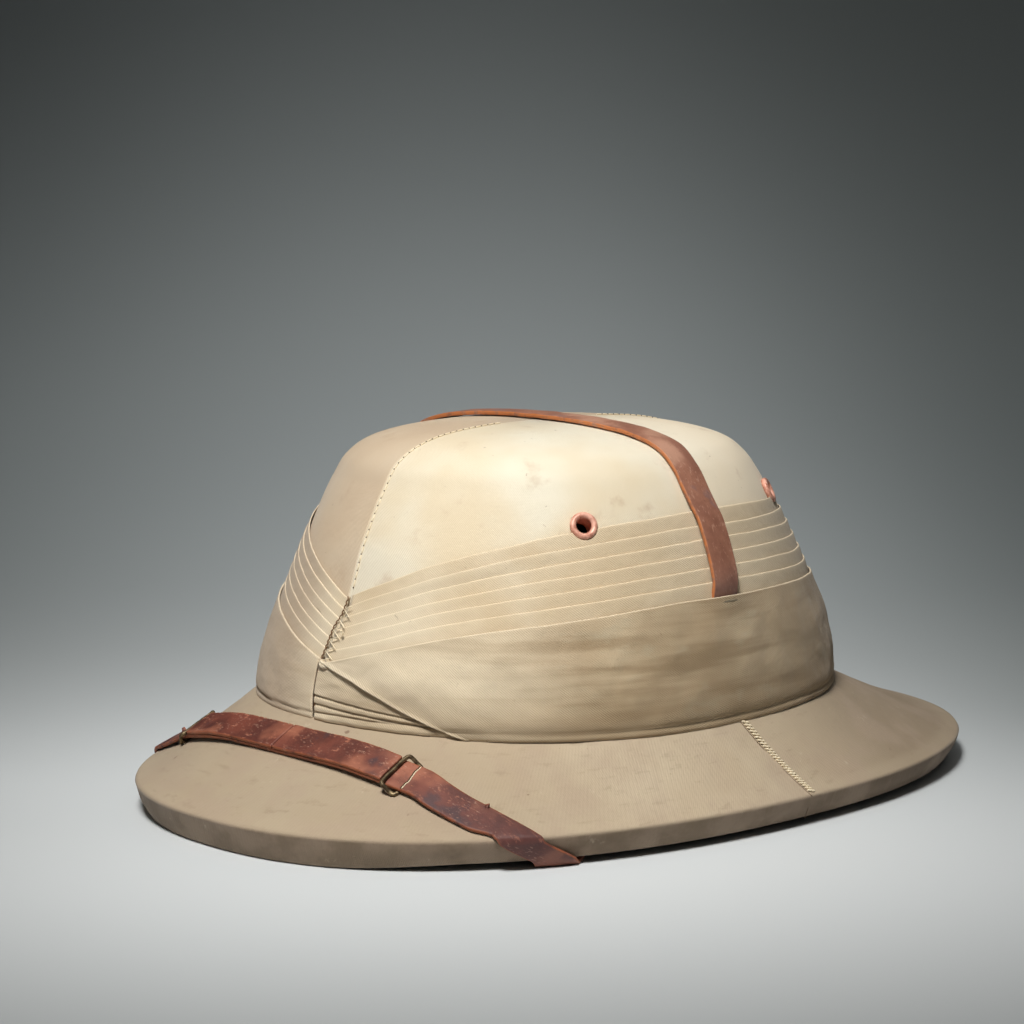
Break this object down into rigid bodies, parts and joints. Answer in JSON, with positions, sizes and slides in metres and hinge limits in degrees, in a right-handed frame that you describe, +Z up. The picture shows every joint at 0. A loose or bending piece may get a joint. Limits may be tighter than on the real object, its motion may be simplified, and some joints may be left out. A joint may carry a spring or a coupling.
{
  "type": "pith helmet",
  "caption": "Hollow pith helmet with a sloping brim, pleated cloth band, vent eyelets, a strap over the crown and a chin strap over the peak.",
  "frame": {"origin": "bottom centre of the box around the helmet, on the surface that it stands on", "axes": "+Z up; -Y to the front, where the peak points; +X to the wearer's left"},
  "size_m": [0.2596, 0.3592, 0.1448],
  "materials": {
    "crown_cloth": "faded cotton drill, stretched and glued over pith",
    "brim_cloth": "faded and soiled cotton drill",
    "puggaree_cloth": "folded cotton twill",
    "eyelet_paint": "worn rose-brown paint",
    "strap_leather": "scuffed dark red-brown leather",
    "slider_brass": "tarnished brass wire"
  },
  "bodies": {
    "root": {"crown": "crown_cloth", "brim": "brim_cloth", "pleat_1": "puggaree_cloth", "pleat_2": "puggaree_cloth", "pleat_3": "puggaree_cloth", "pleat_4": "puggaree_cloth", "pleat_5": "puggaree_cloth", "pleat_6": "puggaree_cloth", "puggaree_band": "puggaree_cloth", "eyelet_front_left": "eyelet_paint", "eyelet_back_left": "eyelet_paint", "eyelet_front_right": "eyelet_paint", "eyelet_back_right": "eyelet_paint", "crown_strap": "strap_leather", "chin_strap": "strap_leather", "strap_fold_left": "strap_leather", "strap_fold_right": "strap_leather", "slider_left": "slider_brass", "slider_right": "slider_brass", "anchor_left": "slider_brass", "anchor_right": "slider_brass"}
  },
  "joints": []
}
